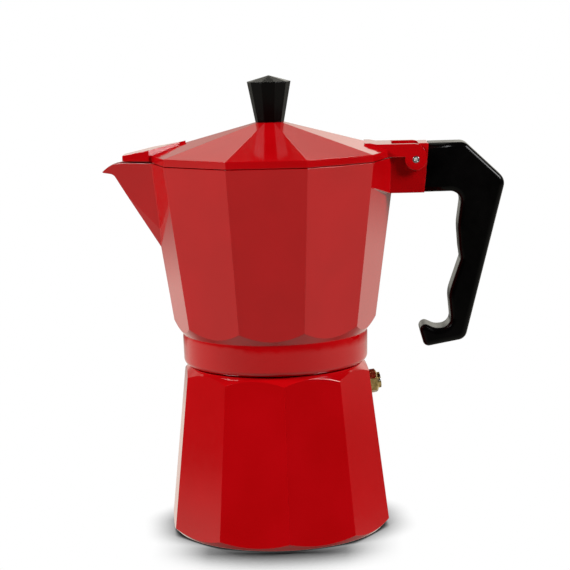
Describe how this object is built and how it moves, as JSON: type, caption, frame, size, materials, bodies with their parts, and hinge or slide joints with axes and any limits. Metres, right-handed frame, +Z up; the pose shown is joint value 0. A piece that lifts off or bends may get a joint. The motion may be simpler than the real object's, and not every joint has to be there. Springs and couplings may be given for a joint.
{
  "type": "moka pot",
  "caption": "Stovetop moka pot: red ten-sided boiler and screw-on upper chamber with spout, hinged lid, black handle and knob.",
  "frame": {"origin": "centre of the boiler's flat base, on the surface the pot stands on", "axes": "+Z up along the pot's axis; +X towards the handle; -X towards the spout"},
  "size_m": [0.1797, 0.1068, 0.2053],
  "materials": {
    "red_enamel": "gloss red enamel over cast aluminium",
    "bare_aluminium": "satin, bare",
    "black_plastic": "moulded, glossy",
    "brass": "turned, slightly dulled",
    "steel": "plain bright steel",
    "seal_rubber": "matt silicone"
  },
  "bodies": {
    "boiler": {"boiler": "red_enamel", "valve_washer": "brass", "valve_body": "brass", "valve_spring": "steel", "valve_cap": "brass", "funnel": "bare_aluminium", "funnel_plate": "bare_aluminium"},
    "plunger": {"valve_plunger": "steel", "valve_seal": "seal_rubber"},
    "seals": {"gasket": "seal_rubber", "filter_plate": "steel"},
    "collector": {"collector": "red_enamel", "column": "bare_aluminium", "column_cap": "bare_aluminium", "hinge_pin": "steel", "handle": "black_plastic", "handle_screw": "steel", "handle_washer": "steel"},
    "lid": {"lid": "red_enamel", "knob": "black_plastic", "knob_insert": "brass", "knob_screw": "steel", "knob_washer": "steel"}
  },
  "joints": [
    {"name": "collector_lift", "type": "slide", "parent": "boiler", "child": "seals", "axis": [0, 0, 1], "range_m": [0, 0.0061]},
    {"name": "collector_turn", "type": "hinge", "parent": "seals", "child": "collector", "pos_m": [0, 0, 0.082], "axis": [0, 0, 1], "range_deg": [0, 540]},
    {"name": "lid_hinge", "type": "hinge", "parent": "collector", "child": "lid", "pos_m": [0.0646, 0, 0.1672], "axis": [0, 1, 0], "range_deg": [0, 105]},
    {"name": "plunger_slide", "type": "slide", "parent": "boiler", "child": "plunger", "axis": [0.9875, 0.1125, 0.1103], "range_m": [0, 0.0015], "stiffness_N_per_m": 1500, "springref_m": -0.0018, "deforming": ["valve_spring"]}
  ],
  "couplings": [
    {"joint": "collector_lift", "follows": "collector_turn", "m_per_rad": 0.00063662}
  ]
}
